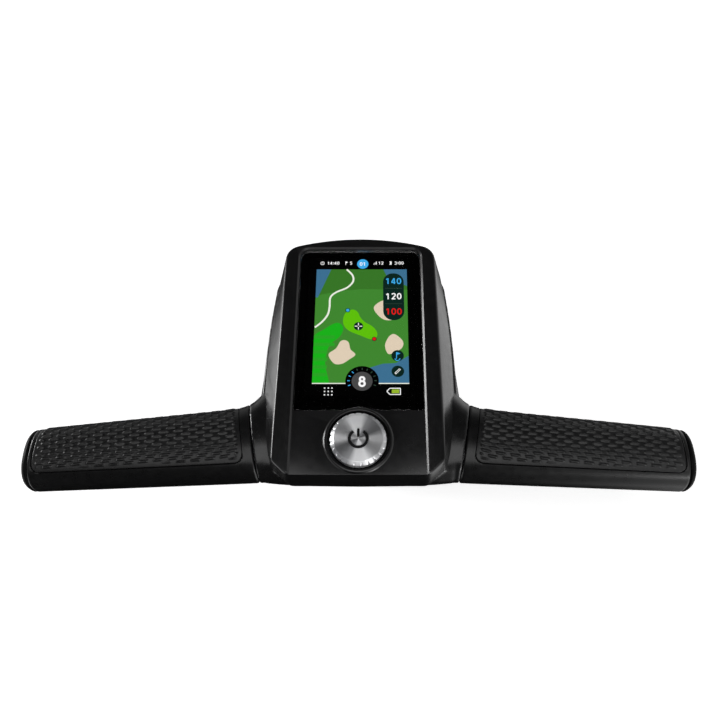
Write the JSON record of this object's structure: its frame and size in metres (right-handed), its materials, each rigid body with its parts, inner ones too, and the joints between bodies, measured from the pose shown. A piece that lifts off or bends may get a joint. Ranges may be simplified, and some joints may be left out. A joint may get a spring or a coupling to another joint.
{
  "type": "golf trolley handle unit",
  "caption": "Cross bar handle with two hand grips, a tilted control head with a colour display, a turn-and-press knob and a clamping stem collar.",
  "frame": {"origin": "centre of the stem collar's open end, on the stem's axis", "axes": "+X along the cross bar to the golfer's right, +Y up the display away from the golfer, +Z along the stem out of the display's face; the stem leaves the collar along -Z"},
  "size_m": [0.3572, 0.1435, 0.0966],
  "materials": {
    "bezel_plastic": "fine spark-eroded satin black",
    "housing_plastic": "satin black moulding",
    "grip_plastic": "satin black moulding",
    "grip_rubber": "soft black with raised dashes",
    "seal_rubber": "black rubber",
    "cover_glass": "polished, black printed border",
    "display_panel": "lit colour display",
    "knob_aluminium": "turned, concentric brushing",
    "tube_aluminium": "drawn tube",
    "fastener_steel": "zinc plated",
    "stamped_steel": "bright stamped sheet",
    "collar_metal": "black powder coat",
    "circuit_board": "green solder mask",
    "ceramic": "sintered ceramic",
    "inner_plastic": "black moulding",
    "dark_inlay": "dark filled mark"
  },
  "bodies": {
    "housing": {"buzzer": "inner_plastic", "charging_socket": "stamped_steel", "clamp_bolt": "fastener_steel", "clamp_nut": "fastener_steel", "collar_screw_1": "fastener_steel", "collar_screw_2": "fastener_steel", "collar_screw_3": "fastener_steel", "collar_screw_4": "fastener_steel", "console_bezel": "bezel_plastic", "cover_glass": "cover_glass", "crossbar_clamp_left": "stamped_steel", "crossbar_clamp_right": "stamped_steel", "crossbar_tube": "tube_aluminium", "display_frame": "stamped_steel", "display_panel": "display_panel", "encoder_body": "inner_plastic", "encoder_bush": "fastener_steel", "encoder_nut": "fastener_steel", "flap_pin": "fastener_steel", "glass_gasket": "seal_rubber", "gps_antenna": "ceramic", "grip_cap_left": "grip_plastic", "grip_cap_right": "grip_plastic", "grip_pad_left": "grip_rubber", "grip_pad_right": "grip_rubber", "grip_screw_left": "fastener_steel", "grip_screw_right": "fastener_steel", "grip_shell_left": "grip_plastic", "grip_shell_right": "grip_plastic", "housing_screw_1": "fastener_steel", "housing_screw_2": "fastener_steel", "housing_screw_3": "fastener_steel", "housing_screw_4": "fastener_steel", "knob_seal": "seal_rubber", "loom": "seal_rubber", "loom_plug": "inner_plastic", "main_board": "circuit_board", "rear_housing": "housing_plastic", "shield_can": "stamped_steel", "stem_collar": "collar_metal", "stem_connector": "inner_plastic", "switch_dome": "stamped_steel"},
    "plunger": {"encoder_plunger": "inner_plastic"},
    "knob": {"encoder_shaft": "fastener_steel", "knob_cap": "knob_aluminium", "knob_insert": "inner_plastic", "knob_mark_bar": "dark_inlay", "knob_mark_ring": "dark_inlay"},
    "flap": {"charging_flap": "seal_rubber"}
  },
  "joints": [
    {"name": "knob_press", "type": "slide", "parent": "housing", "child": "plunger", "axis": [0, 0, -1], "range_m": [0, 0.0006], "stiffness_N_per_m": 4000, "deforming": ["switch_dome"]},
    {"name": "knob_turn", "type": "hinge", "parent": "plunger", "child": "knob", "pos_m": [0, -0.032, 0.0955], "axis": [0, 0, 1], "continuous": true},
    {"name": "flap_hinge", "type": "hinge", "parent": "housing", "child": "flap", "pos_m": [0, 0.0634, 0.0426], "axis": [1, 0, 0], "range_deg": [0, 120]}
  ]
}
